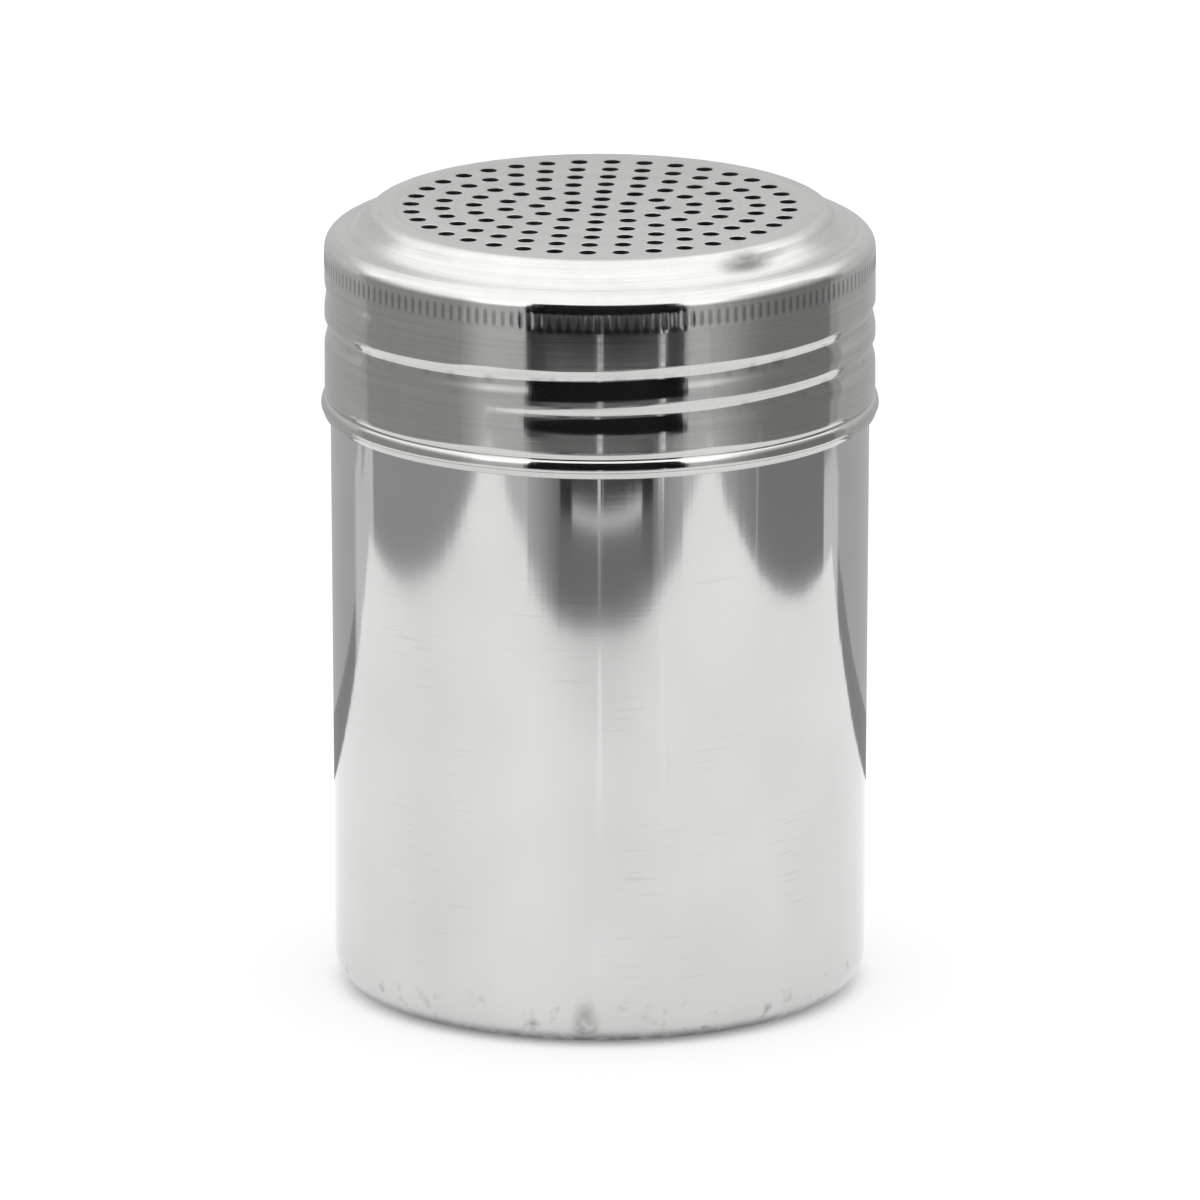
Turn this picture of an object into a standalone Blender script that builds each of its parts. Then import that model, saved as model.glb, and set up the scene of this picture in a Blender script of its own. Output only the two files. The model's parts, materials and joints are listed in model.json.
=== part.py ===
"""Sugar dredger: a drawn stainless steel cup with a perforated lid that screws on.

Each object is one piece of the dredger, in metres. It stands on z = 0 with +Z up, and its screw
thread runs about the Z axis. Slopes of a profile are angles below the horizontal, in degrees.
"""
import math

import bmesh
import bpy
from mathutils import Matrix

MM = 0.001

# Overall sizes
OVERALL_HEIGHT = 100.0 * MM
LID_DIAMETER = 70.0 * MM

# Sheet and fits
SHEET = 0.5 * MM
SEAT_GAP = 0.3 * MM
WALL_GAP = 0.35 * MM
ROOT_GAP = 0.4 * MM
CREST_GAP = 0.2 * MM

# Lid, from its flat top down
TOP_EDGE_RADIUS = 1.8 * MM
OGEE_SLOPE = 62.0
OGEE_HOLLOW_RADIUS = 3.8 * MM
LEDGE_WIDTH = 1.0 * MM
LEDGE_SLOPE = 10.0
SHOULDER_RADIUS = 2.0 * MM
GRIP_BAND_HEIGHT = 2.71 * MM
LOWER_BAND_HEIGHT = 2.85 * MM
HEM_HEIGHT = 3.0 * MM
HEM_PROUD = 0.45 * MM

# Holes of the lid: a centre hole and rings of six, twelve, eighteen and so on
HOLE_DIAMETER = 2.0 * MM
HOLE_RING_PITCH = 3.95 * MM
HOLE_MARGIN = 2.6 * MM
HOLE_ROW_ANGLE = 86.3
HOLES_PER_STEP = 6

# Screw thread: a groove rolled into the lid's wall and a crest left standing on the cup's neck
THREAD_PITCH = 4.55 * MM
GROOVE_TURNS = 1.96
GROOVE_DEPTH = 0.45 * MM
GROOVE_HALF_WIDTH = 1.9 * MM
GROOVE_START_ANGLE = 245.0
CREST_LEAD_TURNS = 0.08
CREST_TURNS = 1.58
CREST_HALF_WIDTH = 1.9 * MM
RUNOUT_TURNS = 0.12

# Cup, from its neck down
NECK_STEP_HEIGHT = 1.6 * MM
WALL_TAPER = 0.45 * MM
BASE_CORNER_RADIUS = 4.0 * MM
FOOT_WIDTH = 4.5 * MM
BASE_RECESS = 0.7 * MM
RECESS_RUN = 1.5 * MM

# Fineness of the meshes
COLUMNS = 40
ARC_STEPS = 3
BEAD_STEPS = 6
HOLE_SIDES = 6
THREAD_ROW = 0.76 * MM
SHARP_ANGLE = 40.0

# Sizes that follow from those above, with heights in the lid measured from its lower edge
HEM_RADIUS = LID_DIAMETER / 2
LID_RADIUS = HEM_RADIUS - HEM_PROUD
LID_BORE = LID_RADIUS - SHEET
GROOVE_SPAN = GROOVE_TURNS * THREAD_PITCH
GROOVE_LOW = HEM_HEIGHT + LOWER_BAND_HEIGHT
GROOVE_START = GROOVE_LOW + GROOVE_HALF_WIDTH
GROOVE_HIGH = GROOVE_START + GROOVE_SPAN + GROOVE_HALF_WIDTH
WALL_TOP = GROOVE_HIGH + GRIP_BAND_HEIGHT
CUP_RADIUS = LID_BORE - WALL_GAP
NECK_RADIUS = LID_BORE - GROOVE_DEPTH - ROOT_GAP
CREST_HEIGHT = LID_BORE - CREST_GAP - NECK_RADIUS
CREST_START = GROOVE_START + THREAD_PITCH / 2 + CREST_LEAD_TURNS * THREAD_PITCH
CREST_START_ANGLE = GROOVE_START_ANGLE + CREST_LEAD_TURNS * 360
CREST_LOW = CREST_START - CREST_HALF_WIDTH
CREST_HIGH = CREST_START + CREST_TURNS * THREAD_PITCH + CREST_HALF_WIDTH
BASE_RADIUS = CUP_RADIUS - WALL_TAPER


def sine(slope):
    return math.sin(math.radians(slope))


def cosine(slope):
    return math.cos(math.radians(slope))


def arc(start, radius, slope_from, slope_to):
    """Points after start on an arc that turns from one slope to another; a hollow radius is negative."""
    points = []
    for step in range(1, ARC_STEPS + 1):
        slope = slope_from + (slope_to - slope_from) * step / ARC_STEPS
        out = start[0] + radius * (sine(slope) - sine(slope_from))
        up = start[1] + radius * (cosine(slope) - cosine(slope_from))
        points.append((out, up))
    return points


def rows(radius, high, low):
    """Points straight down a wall, close enough together to be rolled into a thread."""
    count = math.ceil((high - low) / THREAD_ROW)
    return [(radius, high + (low - high) * row / count) for row in range(count + 1)]


def ogee_rise():
    """Height of the lid's top above the upper end of its straight wall."""
    edge = TOP_EDGE_RADIUS * (1 - cosine(OGEE_SLOPE))
    hollow = OGEE_HOLLOW_RADIUS * (cosine(LEDGE_SLOPE) - cosine(OGEE_SLOPE))
    ledge = LEDGE_WIDTH * math.tan(math.radians(LEDGE_SLOPE))
    return edge + hollow + ledge + SHOULDER_RADIUS * cosine(LEDGE_SLOPE)


def flat_radius():
    """Radius of the flat top, worked inwards from the lid's wall across the ogee."""
    corner = SHOULDER_RADIUS * (1 - sine(LEDGE_SLOPE))
    hollow = OGEE_HOLLOW_RADIUS * (sine(OGEE_SLOPE) - sine(LEDGE_SLOPE))
    return LID_RADIUS - corner - LEDGE_WIDTH - hollow - TOP_EDGE_RADIUS * sine(OGEE_SLOPE)


LID_DEPTH = WALL_TOP + ogee_rise()
LID_FOOT = OVERALL_HEIGHT - LID_DEPTH


def shoulder(depth):
    """Half section of the lid from its axis to the end of the shoulder, at a depth in the sheet."""
    top = LID_DEPTH - depth
    points = [(0, top), (flat_radius(), top)]
    points += arc(points[-1], TOP_EDGE_RADIUS - depth, 0, OGEE_SLOPE)
    points += arc(points[-1], -OGEE_HOLLOW_RADIUS - depth, OGEE_SLOPE, LEDGE_SLOPE)
    out, up = points[-1]
    points.append((out + LEDGE_WIDTH, up - LEDGE_WIDTH * math.tan(math.radians(LEDGE_SLOPE))))
    points += arc(points[-1], SHOULDER_RADIUS - depth, LEDGE_SLOPE, 90)
    return points


def lid_side(depth):
    """Half section of the lid from its axis to the foot of its wall, at a depth in the sheet."""
    radius = LID_RADIUS - depth
    return shoulder(depth) + rows(radius, GROOVE_HIGH, GROOVE_LOW) + [(radius, HEM_HEIGHT)]


def rim_height():
    """Height of the cup's rim: a seat gap under the inside of the lid's shoulder."""
    inside = shoulder(SHEET)
    under = []
    for (out, up), (next_out, next_up) in zip(inside, inside[1:]):
        for radius in (NECK_RADIUS - SHEET, NECK_RADIUS):
            if out < radius <= next_out:
                under.append(up + (next_up - up) * (radius - out) / (next_out - out))
    return LID_FOOT + min(under) - SEAT_GAP


def cup_side(depth):
    """Half section of the cup from its rim to its axis, at a depth in the sheet."""
    neck = NECK_RADIUS - depth
    step_top = LID_FOOT + GROOVE_LOW - SEAT_GAP
    points = [(neck, rim_height())]
    points += rows(neck, LID_FOOT + CREST_HIGH, LID_FOOT + CREST_LOW)
    points += [(neck, step_top), (CUP_RADIUS - depth, step_top - NECK_STEP_HEIGHT)]
    points.append((BASE_RADIUS - depth, BASE_CORNER_RADIUS))
    points += arc(points[-1], BASE_CORNER_RADIUS - depth, 90, 180)
    foot_inside = BASE_RADIUS - BASE_CORNER_RADIUS - FOOT_WIDTH
    points.append((foot_inside, depth))
    points += [(foot_inside - RECESS_RUN, BASE_RECESS + depth), (0, BASE_RECESS + depth)]
    return points


def hem_section():
    """Closed half section of the hem: a bead outside, the lid's bore inside."""
    top = HEM_HEIGHT - SEAT_GAP
    points = []
    for step in range(BEAD_STEPS + 1):
        turn = 180 * step / BEAD_STEPS
        points.append((LID_RADIUS + HEM_PROUD * sine(turn), top / 2 * (1 + cosine(turn))))
    return points + [(LID_BORE, 0), (LID_BORE, top)]


def helix_weight(angle, height, start_angle, start_height, turns, half_width):
    """How deep a point lies in a right-hand thread: 1 on its middle line, 0 beyond its edges."""
    first_turn = ((angle - start_angle) % 360) / 360
    weight = 0
    for lap in range(math.ceil(turns) + 1):
        run = first_turn + lap
        away = abs(height - start_height - run * THREAD_PITCH)
        if run < turns and away < half_width:
            runout = min(1, run / RUNOUT_TURNS, (turns - run) / RUNOUT_TURNS)
            weight = max(weight, runout * math.cos(math.pi / 2 * away / half_width) ** 2)
    return weight


def roll(mesh, push, start_angle, start_height, turns, half_width):
    """Push a turned wall outwards along a thread, both faces of the sheet alike."""
    for vertex in mesh.vertices:
        x, y, z = vertex.co
        radius = math.hypot(x, y)
        angle = math.degrees(math.atan2(y, x))
        weight = helix_weight(angle, z, start_angle, start_height, turns, half_width)
        if weight > 0:
            scale = (radius + push * weight) / radius
            vertex.co = (x * scale, y * scale, z)


def turned(name, section, closed, collection):
    """A piece turned about the Z axis from its half section, as a plain mesh."""
    count = len(section)
    edges = [(at, at + 1) for at in range(count - 1)]
    if closed:
        edges.append((count - 1, 0))
    profile = bpy.data.meshes.new(name)
    profile.from_pydata([(out, 0, up) for out, up in section], edges, [])
    piece = bpy.data.objects.new(name, profile)
    collection.objects.link(piece)
    screw = piece.modifiers.new("Turn", "SCREW")
    screw.axis = "Z"
    screw.angle = math.tau
    screw.steps = COLUMNS
    screw.render_steps = COLUMNS
    screw.use_merge_vertices = True
    screw.merge_threshold = 0.001 * MM
    graph = bpy.context.evaluated_depsgraph_get()
    mesh = bpy.data.meshes.new_from_object(piece.evaluated_get(graph))
    piece.modifiers.clear()
    piece.data = mesh
    mesh.name = name
    bpy.data.meshes.remove(profile)
    return piece


def finish(piece, colour, roughness):
    """Polished steel of the piece's own, and smooth shading over its round faces."""
    material = bpy.data.materials.new(piece.name + "_steel")
    material.use_nodes = True
    shader = material.node_tree.nodes["Principled BSDF"]
    shader.inputs["Base Color"].default_value = (*colour, 1)
    shader.inputs["Metallic"].default_value = 1
    shader.inputs["Roughness"].default_value = roughness
    piece.data.materials.clear()
    piece.data.materials.append(material)
    piece.data.shade_smooth()
    piece.data.set_sharp_from_angle(angle=math.radians(SHARP_ANGLE))


def hole_cutters(collection):
    """Pins for all the holes of the lid, in rings that each gain six holes on the last."""
    shape = bmesh.new()
    rings = math.floor((flat_radius() - HOLE_MARGIN) / HOLE_RING_PITCH)
    for ring in range(rings + 1):
        count = max(1, HOLES_PER_STEP * ring)
        for hole in range(count):
            angle = HOLE_ROW_ANGLE + 360 * hole / count
            out = ring * HOLE_RING_PITCH
            place = Matrix.Translation((out * cosine(angle), out * sine(angle), LID_DEPTH - SHEET / 2))
            bmesh.ops.create_cone(shape, cap_ends=True, segments=HOLE_SIDES, radius1=HOLE_DIAMETER / 2,
                                  radius2=HOLE_DIAMETER / 2, depth=4 * SHEET, matrix=place)
    mesh = bpy.data.meshes.new("hole_pins")
    shape.to_mesh(mesh)
    shape.free()
    pins = bpy.data.objects.new("hole_pins", mesh)
    pins.hide_render = True
    pins.display_type = "WIRE"
    collection.objects.link(pins)
    return pins


def make_cup(parts):
    section = list(reversed(cup_side(SHEET))) + cup_side(0)
    cup = turned("cup", section, False, parts)
    roll(cup.data, CREST_HEIGHT, CREST_START_ANGLE, LID_FOOT + CREST_START, CREST_TURNS, CREST_HALF_WIDTH)
    finish(cup, (0.74, 0.74, 0.73), 0.1)


def make_lid(parts, cutters, lid_place):
    section = lid_side(0) + list(reversed(lid_side(SHEET)))
    lid = turned("lid", section, False, parts)
    roll(lid.data, -GROOVE_DEPTH, GROOVE_START_ANGLE, GROOVE_START, GROOVE_TURNS, GROOVE_HALF_WIDTH)
    finish(lid, (0.72, 0.72, 0.71), 0.12)
    lid.parent = lid_place
    pins = hole_cutters(cutters)
    pins.parent = lid_place
    cut = lid.modifiers.new("Holes", "BOOLEAN")
    cut.operation = "DIFFERENCE"
    cut.object = pins


def make_hem(parts, lid_place):
    hem = turned("lid_hem", hem_section(), True, parts)
    finish(hem, (0.72, 0.72, 0.71), 0.12)
    hem.parent = lid_place


def main():
    for left_over in list(bpy.data.objects):
        bpy.data.objects.remove(left_over)
    parts = bpy.data.collections.new("sugar_dredger")
    cutters = bpy.data.collections.new("cutters")
    for collection in (parts, cutters):
        bpy.context.scene.collection.children.link(collection)
    lid_place = bpy.data.objects.new("lid_place", None)
    lid_place.location.z = LID_FOOT
    parts.objects.link(lid_place)
    make_cup(parts)
    make_lid(parts, cutters, lid_place)
    make_hem(parts, lid_place)


main()
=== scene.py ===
"""Sugar dredger in polished stainless steel: the looks of its cup and of its screw-on lid.

Cup and lid are spun from their half sections, as the real ones are drawn and rolled from sheet.
Lengths are metres with +Z up, and the dredger stands on z = 0. A half section is a list of points
(distance from the axis, height). A slope is an angle below the horizontal.
"""
import json
import math

import bmesh
import bpy
from bpy.props import FloatProperty, IntProperty, PointerProperty, StringProperty
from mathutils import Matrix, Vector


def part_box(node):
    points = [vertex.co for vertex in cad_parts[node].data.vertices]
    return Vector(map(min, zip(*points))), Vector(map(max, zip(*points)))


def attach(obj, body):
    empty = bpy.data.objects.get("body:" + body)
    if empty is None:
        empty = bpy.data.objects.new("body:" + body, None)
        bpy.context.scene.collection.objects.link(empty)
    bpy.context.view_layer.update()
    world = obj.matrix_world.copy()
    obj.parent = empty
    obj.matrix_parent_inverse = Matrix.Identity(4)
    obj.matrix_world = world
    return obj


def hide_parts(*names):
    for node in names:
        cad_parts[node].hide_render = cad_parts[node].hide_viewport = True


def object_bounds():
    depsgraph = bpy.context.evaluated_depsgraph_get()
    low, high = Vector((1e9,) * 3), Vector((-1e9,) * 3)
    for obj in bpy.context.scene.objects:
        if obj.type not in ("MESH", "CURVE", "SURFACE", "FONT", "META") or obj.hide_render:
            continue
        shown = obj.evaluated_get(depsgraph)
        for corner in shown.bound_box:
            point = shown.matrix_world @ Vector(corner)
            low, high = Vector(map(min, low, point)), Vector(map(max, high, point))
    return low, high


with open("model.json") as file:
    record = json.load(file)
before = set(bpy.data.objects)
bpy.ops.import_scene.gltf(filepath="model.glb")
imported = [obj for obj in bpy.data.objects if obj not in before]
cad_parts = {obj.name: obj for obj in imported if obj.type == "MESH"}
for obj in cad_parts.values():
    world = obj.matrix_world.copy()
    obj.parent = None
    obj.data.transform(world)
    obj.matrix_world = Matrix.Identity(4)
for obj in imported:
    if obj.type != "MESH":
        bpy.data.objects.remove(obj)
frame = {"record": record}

bl_info = {
    "name": "Sugar dredger",
    "version": (1, 0, 0),
    "blender": (4, 5, 0),
    "location": "3D View > Sidebar > Dredger",
    "description": "Models a polished steel sugar dredger with a perforated screw lid",
    "category": "Add Mesh",
}

MM = 0.001

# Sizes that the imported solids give
CAD_LOW, CAD_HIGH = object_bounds()
CUP_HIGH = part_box("cup")[1]
LID_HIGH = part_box("lid")[1]
HEM_LOW, HEM_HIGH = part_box("lid_hem")
TOP = CAD_HIGH.z
RIM = CUP_HIGH.z
CUP_RADIUS = CUP_HIGH.x
LID_RADIUS = LID_HIGH.x
LID_FOOT = HEM_LOW.z
HEM_RADIUS = HEM_HIGH.x
THREAD_PITCH = frame["record"]["behaviour"]["couplings"][0]["ratio"] * math.tau

# Closeness of points that count as one, and of a point to the face that it lies on
WELD = 0.001 * MM
TOUCH = 0.01 * MM

# How far the floor lies below the base, so that their faces don't share a plane
FLOOR_DROP = 0.05 * MM

# Largest angle between faces that are shaded as one round surface
SMOOTH_ANGLE = math.radians(40)

# Steps of the mesh along the curves of the half sections
SHOULDER_STEPS = 6
SHOULDER_INSIDE_STEPS = 3
HOLE_EDGE_STEPS = 2
CREASE_STEPS = 4
FOLD_STEPS = 3
FLANK_STEPS = 4
BEAD_STEPS = 4
CURL_STEPS = 5
LIP_STEPS = 3
RIM_STEPS = 6
NECK_STEPS = 6
NECK_INSIDE_STEPS = 4
CORNER_STEPS = 8
CORNER_INSIDE_STEPS = 6
RECESS_STEPS = 6
RECESS_INSIDE_STEPS = 4

# Pitches by which the crest on the cup's neck lies above the lid's groove
CREST_RISE = 0.5

# Share of a face's normal from which it leans that way, is steep, or is level
LEANING = 0.1
STEEP = 0.5
LEVEL = 0.9

# Where a thumb has smudged the hollow of the lid's shoulder, and how the smudge is turned along it
THUMB = (18.1 * MM, -23.2 * MM, TOP - 1.5 * MM)
THUMB_TURN = (0, 0, math.atan2(THUMB[0], -THUMB[1]))

# Where the cup's wall has a darker grey patch above its foot
FOOT_PATCH = (-1.8 * MM, -CUP_RADIUS, 2.6 * MM)

# How much slower a mark changes along its length: polishing rings, drawing marks, hairlines, wipes
RING_STRETCH = 0.02
DRAWN_STRETCH = 0.02
HAIR_STRETCH = 0.05
WIPE_STRETCH = 0.25

# Width over which the edge of a mark fades
SOFT_EDGE = 1 * MM

# How much fine detail the noise of each mark has
WAVE_DETAIL = 1
STREAK_DETAIL = 2
RING_DETAIL = 3
SMEAR_DETAIL = 6
HAIR_DETAIL = 2
PATCH_DETAIL = 1
GRAIN_DETAIL = 4
SKIN_DETAIL = 3

# Values of a noise, of the ripple of the ribs or of a place in an oval, between which a mark fades in
DULL = (0.7, 1.35)
HAIRS = (0.58, 0.72)
RUBBED_PATCHES = (0.5, 0.7)
SCUFFED = (0.2, 0.6)
SPECKLED = (0.55, 0.85)
GRIMY = (0.5, 0.7)
SKIN_LINES = (0.1, 0.6)
SMUDGE = (1, 0.2)
VALLEYS = (0.5, -1)

# White of the sky's cloth and of the light box
WHITE = "#FFFFFF"

# Distance of a panel of the light tent before the one behind it, and of light above the base's plane
LAYER = 1 * MM
LEAK_RISE = 0.01 * MM

# Heights of the gaps under the tent's walls, and the shares of a side at which those at the back end
LEFT_GAP = 15 * MM
LEFT_BACK_GAP = 18 * MM
LEFT_FAR_GAP = 27 * MM
RIGHT_GAP = 14 * MM
RIGHT_BACK_GAP = 19 * MM
LEFT_BACK_END = 0.8
LEFT_FAR_END = 0.66
RIGHT_BACK_END = 0.82

# Changes of light across the tent: two shares of a length, and the share of light left at the second
UPPER_CHANGE = (0.4, 0.9, 4)
LEFT_CHANGE = (0.6, 1, 1.6)
RIGHT_CHANGE = (0.3, 1, 2.1)
BACK_CHANGE = (0.2, 0.5, 1.5)
BACK_TOP_CHANGE = (0.55, 0.8, 2)
FOOT_CHANGE = (1, 0, 1.5)
DOOR_FOOT_CHANGE = (1, 0, 2)
DOOR_DARK_CHANGE = (0.85, 1.1, 0.05)
DOOR_SIDE_CHANGE = (0.45, 0.9, 0.35)
PALE_CHANGE = (0.4, 1, 2.8)
SLIT_CHANGE = (0.5, 0.2, 0.4)
LEAK_CHANGE = (0, 1, 0.92)


def length(name, description, millimetres):
    """A length for a user to set, with its default in millimetres."""
    return FloatProperty(name=name, description=description, default=millimetres * MM, unit="LENGTH")


def turn(name, description, degrees):
    """An angle for a user to set, with its default in degrees."""
    return FloatProperty(name=name, description=description, default=math.radians(degrees), subtype="ANGLE")


def count(name, description, number):
    """A whole number for a user to set."""
    return IntProperty(name=name, description=description, default=number, min=1)


def share(name, description, number):
    """A plain number for a user to set."""
    return FloatProperty(name=name, description=description, default=number, min=0)


def colour(name, description, code):
    """An sRGB hex colour for a user to set."""
    return StringProperty(name=name, description=description, default=code)


class DredgerThread(bpy.types.PropertyGroup):
    """Sizes of the rolled screw thread, which cup and lid share."""
    groove_depth: length("Groove depth", "How far the lid's wall is rolled in", 0.45)
    groove_above: length("Upper flank", "Height of the groove's flank above its line", 1.0)
    groove_below: length("Lower flank", "Height of the groove's flank below its line", 2.6)
    groove_turns: share("Groove turns", "Turns of the groove round the lid", 1.96)
    groove_angle: turn("Groove angle", "Where round the lid the groove starts", 245)
    groove_start: length("Groove start", "Height of the groove's lower end above the lid's foot", 7.75)
    crest_half: length("Crest half width", "Half the width of the crest on the cup's neck", 1.9)
    crest_turns: share("Crest turns", "Turns of the crest round the neck", 1.58)
    crest_lead: share("Crest lead", "Turns by which the crest starts after the groove", 0.08)
    run_in: share("Run-in", "Turns over which the lower end of the thread fades", 0.17)
    run_out: share("Run-out", "Turns over which the upper end of the thread fades", 0.3)
    root_gap: length("Root gap", "Room between the groove inside the lid and the neck", 0.4)
    crest_gap: length("Crest gap", "Room between the crest and the lid's bore", 0.2)


class DredgerLid(bpy.types.PropertyGroup):
    """Sizes of the lid, from its flat top down."""
    sheet: length("Sheet", "Thickness of the steel sheet", 0.5)
    edge_radius: length("Edge radius", "Radius of the edge of the flat top", 1.8)
    ogee_slope: turn("Ogee slope", "Steepest slope of the shoulder", 62)
    hollow_radius: length("Hollow radius", "Radius of the hollow below the top edge", 3.8)
    ledge_width: length("Ledge width", "Width of the ledge outside the hollow", 1.0)
    ledge_slope: turn("Ledge slope", "Slope of the ledge", 10)
    shoulder_radius: length("Shoulder radius", "Radius from the ledge into the wall", 2.0)
    flat_border: length("Flat border", "Plain border inside the edge of the flat top", 0.4)
    hole_diameter: length("Hole diameter", "Diameter of the sugar holes", 2.0)
    hole_edge: length("Hole edge", "Radius that the punch leaves round a hole", 0.2)
    hole_border: length("Hole border", "Flat border modelled round a hole", 0.15)
    hole_pitch: length("Ring pitch", "Distance between rings of holes", 3.95)
    hole_rings: count("Rings", "Rings of holes round the centre hole", 6)
    hole_step: count("Holes a step", "Holes that each ring gains on the last", 6)
    hole_angle: turn("Row angle", "Where round the lid the rings start", 86.3)
    hole_sides: count("Hole sides", "Sides of the mesh of a hole", 16)
    ribs: count("Ribs", "Ribs of the knurled grip band", 181)
    rib_columns: count("Rib columns", "Columns of the mesh for each rib", 3)
    rib_crest: length("Rib crest", "How far a rib stands out of the wall", 0.03)
    rib_valley: length("Rib valley", "How far the valley between ribs goes in", 0.07)
    rib_height: length("Band height", "Height of the knurled band", 2.5)
    rib_fade: length("Band fade", "Height over which the ribs run out", 0.6)
    wall_row: length("Wall row", "Height of the mesh rows of the outer wall", 0.42)
    bore_row: length("Bore row", "Height of the mesh rows inside the lid", 0.8)
    crease_height: length("Crease height", "Height over which the wall draws in above the hem", 0.65)
    crease_depth: length("Crease depth", "How far the wall draws in above the hem", 0.15)
    flank_height: length("Flank height", "Height of the hem's flank, from its upper edge to its widest", 1.0)
    flank_slope: turn("Flank slope", "Slope of the flank at its upper edge", 62)
    bead_radius: length("Bead radius", "Radius of the hem below its widest", 0.45)
    bead_end: turn("Bead end", "Slope at which the bead stops", 150)
    curl_height: length("Curl height", "Height of the curled lip under the bead", 0.8)
    curl_inset: length("Curl inset", "How far the lip lies inside the bead", 0.2)
    curl_width: length("Curl width", "Width of the lip as it curls under", 0.45)
    lip_radius: length("Lip radius", "Radius inside the foot of the hem", 0.2)


class DredgerCup(bpy.types.PropertyGroup):
    """Sizes of the cup, from its neck down."""
    sheet: length("Sheet", "Thickness of the steel sheet", 0.5)
    step_height: length("Step height", "Height over which the wall draws in to the neck", 1.6)
    step_top: length("Step top", "Height of the foot of the neck above the lid's foot", 5.55)
    wall_taper: length("Wall taper", "How much slimmer the wall is at its foot", 0.45)
    corner_radius: length("Corner radius", "Radius of the rounded lower edge", 4.0)
    foot_width: length("Foot width", "Width of the flat ring that the cup stands on", 4.5)
    recess: length("Recess", "Height of the base inside the foot ring", 0.7)
    recess_run: length("Recess run", "Width of the slope from the foot ring to the base", 1.5)
    wall_row: length("Wall row", "Height of the mesh rows of the wall", 2)
    neck_row: length("Neck row", "Height of the mesh rows of the neck", 0.5)
    columns: count("Columns", "Columns of the mesh round the cup", 256)


class DredgerSteel(bpy.types.PropertyGroup):
    """Colours and marks of the stainless steel."""
    cup_colour: colour("Cup steel", "Colour of the polished cup", "#D4D4D3")
    cup_dull: colour("Handled cup", "Colour where handling has dulled the cup", "#CBCBCA")
    lid_colour: colour("Lid steel", "Colour of the polished lid", "#D0D0CE")
    lid_dull: colour("Handled lid", "Colour where handling has dulled the lid", "#BEBEBC")
    # The inside's grey is partly the unpolished steel's own and partly painted shade, kept dark so the sugar
    # holes look dark
    inside_grey_and_shade: colour("Inside", "Colour of the unpolished inside", "#9A9A97")
    inside_dull: colour("Handled inside", "Colour where sugar has dulled the inside", "#B4B4B1")
    # The torn steel of the sugar holes is near black: partly its rough torn face, partly painted shade inside
    # the holes
    cut_shade_colour: colour("Cut edge", "Colour of the steel that the punch has torn", "#1C1C1B")
    cut_worn_in_shade: colour("Worn cut edge", "Colour where the torn steel is rubbed bright", "#3E3E3C")
    # This grey darkens the knurl's valleys, partly as dirt and partly as painted shade, and tints the
    # hairlines and the thumb mark
    grime_and_shade_colour: colour("Grime", "Colour of grime, hairlines and the thumb mark", "#7A7A77")
    # This dark grey paints the scuffed line at the foot, partly as wear and partly as painted contact shadow,
    # and the specks in the groove
    scuff_and_shadow_colour: colour("Scuff", "Colour of scuffs round the foot and specks in the groove", "#504F4D")
    ring_pitch: length("Ring pitch", "Spacing of the fine polishing rings", 0.45)
    cup_ring_depth: length("Cup ring depth", "Depth of the polishing rings on the cup", 0.0005)
    lid_ring_depth: length("Lid ring depth", "Depth of the polishing rings on the lid", 0.002)
    streak_pitch: length("Streak pitch", "Spacing of the drawing marks down the wall", 1.4)
    streak_depth: length("Streak depth", "Depth of the drawing marks", 0.012)
    wave_size: length("Wave size", "Size of the slow waves in the drawn sheet", 16)
    wave_depth: length("Wave depth", "Height of the slow waves", 0.05)
    smear_size: length("Smear size", "Size of smears left by hands and cloths", 14)
    hair_pitch: length("Hairline pitch", "Spacing of the hairlines that cloths have rubbed", 0.35)
    # The scuffed line at the foot, up to this height, is partly painted contact shadow
    scuff_and_shadow_height: length("Scuff height", "Height of the scuffed edge of the foot", 2.2)
    speck_height: length("Speck height", "Height up to which the wall has specks", 8)
    speck_size: length("Speck size", "Size of the specks", 2.2)
    thumb_length: length("Thumb length", "Half the length of the thumb mark, round the shoulder", 5.6)
    thumb_width: length("Thumb width", "Half the width of the thumb mark, across the shoulder", 2.2)
    # Size of the darker grey patch above the foot
    foot_patch_width: length("Rub width", "Half the width of the rubbed patch above the foot", 2.4)
    foot_patch_height: length("Rub height", "Half the height of the rubbed patch above the foot", 4.8)
    cup_mottle: share("Cup mottle", "How much fine detail the cup's smears have", 0.5)
    lid_mottle: share("Lid mottle", "How much fine detail the lid's smears have", 0.8)
    hairs: share("Hairlines", "How much the hairlines show", 0.12)
    # Darkening between the knurled ribs, partly dirt and partly painted shade
    grime: share("Grime", "How much grime lies in the knurled band", 0.6)
    groove_grime: share("Groove grime", "How much grime lies in the screw groove", 0.3)
    thumb: share("Thumb", "How much the thumb mark shows", 1)
    # How much the darker grey patch above the foot shows
    foot_patch: share("Rub", "How much the rubbed patch shows", 0.5)
    cup_polish: share("Cup polish", "Roughness of the polished cup", 0.05)
    lid_polish: share("Lid polish", "Roughness of the polished lid", 0.07)
    smear: share("Smear", "Roughness that smears add to the polish", 0.04)
    satin: share("Satin", "Roughness that the satin top adds to the polish", 0.2)
    inside: share("Inside", "Roughness of the unpolished inside", 0.38)
    knurl: share("Knurl", "Roughness that knurling adds to the polish", 0.05)
    cut: share("Cut edge", "Roughness of the steel that the punch has torn", 0.6)


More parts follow.
